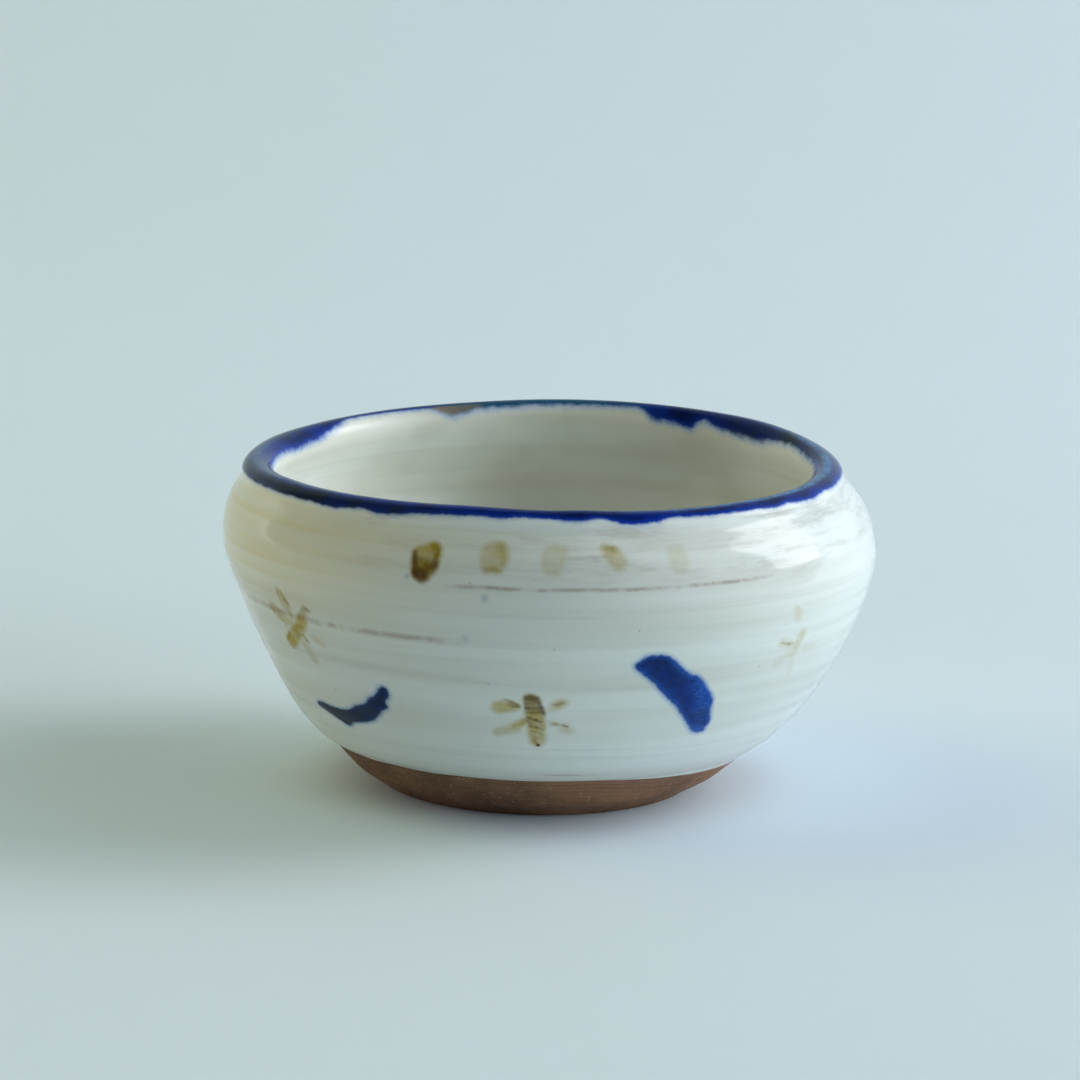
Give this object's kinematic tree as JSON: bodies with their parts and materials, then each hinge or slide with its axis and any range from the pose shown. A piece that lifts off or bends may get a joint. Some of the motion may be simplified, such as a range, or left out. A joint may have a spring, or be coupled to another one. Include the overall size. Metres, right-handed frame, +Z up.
{
  "type": "shallow dish",
  "caption": "Small squat hand-thrown stoneware bowl on a turned foot, with a white coat, a blue band over the lip and brushed iron and cobalt marks, for food or tea.",
  "frame": {"origin": "centre of the bowl's box, on the table that the foot stands on", "axes": "+Z up along the throwing axis; -Y is the front, with the row of five dots; +X is the right of the front view"},
  "size_m": [0.1, 0.1, 0.0516],
  "materials": {
    "stoneware": "bare fired clay, matte, finely sandy",
    "white_coat": "brushed white slip under a clear glossy glaze",
    "cream_coat": "cream grey glaze, glossy",
    "blue_glaze": "cobalt blue glaze with runny edges, glossy",
    "iron_pigment": "olive brown iron wash under the clear glaze",
    "cobalt_pigment": "deep cobalt under the clear glaze"
  },
  "bodies": {
    "root": {"clay_body": "stoneware", "outer_white_coat": "white_coat", "lip_blue_band": "blue_glaze", "inner_cream_coat": "cream_coat", "iron_dot_1": "iron_pigment", "iron_dot_2": "iron_pigment", "iron_dot_3": "iron_pigment", "iron_dot_4": "iron_pigment", "iron_dot_5": "iron_pigment", "bee_1_body": "iron_pigment", "bee_1_fore_wing_right": "iron_pigment", "bee_1_hind_wing_right": "iron_pigment", "bee_1_fore_wing_left": "iron_pigment", "bee_1_hind_wing_left": "iron_pigment", "bee_2_body": "iron_pigment", "bee_2_fore_wing_right": "iron_pigment", "bee_2_hind_wing_right": "iron_pigment", "bee_2_fore_wing_left": "iron_pigment", "bee_2_hind_wing_left": "iron_pigment", "bee_3_body": "iron_pigment", "bee_3_fore_wing_right": "iron_pigment", "bee_3_hind_wing_right": "iron_pigment", "bee_3_fore_wing_left": "iron_pigment", "bee_3_hind_wing_left": "iron_pigment", "bee_4_body": "iron_pigment", "bee_4_fore_wing_right": "iron_pigment", "bee_4_hind_wing_right": "iron_pigment", "bee_4_fore_wing_left": "iron_pigment", "bee_4_hind_wing_left": "iron_pigment", "bee_5_body": "iron_pigment", "bee_5_fore_wing_right": "iron_pigment", "bee_5_hind_wing_right": "iron_pigment", "bee_5_fore_wing_left": "iron_pigment", "bee_5_hind_wing_left": "iron_pigment", "bee_6_body": "iron_pigment", "bee_6_fore_wing_right": "iron_pigment", "bee_6_hind_wing_right": "iron_pigment", "bee_6_fore_wing_left": "iron_pigment", "bee_6_hind_wing_left": "iron_pigment", "blue_stroke_1": "cobalt_pigment", "blue_stroke_2": "cobalt_pigment", "blue_stroke_3": "cobalt_pigment", "blue_stroke_4": "cobalt_pigment", "blue_stroke_5": "cobalt_pigment", "blue_stroke_6": "cobalt_pigment"}
  },
  "joints": []
}
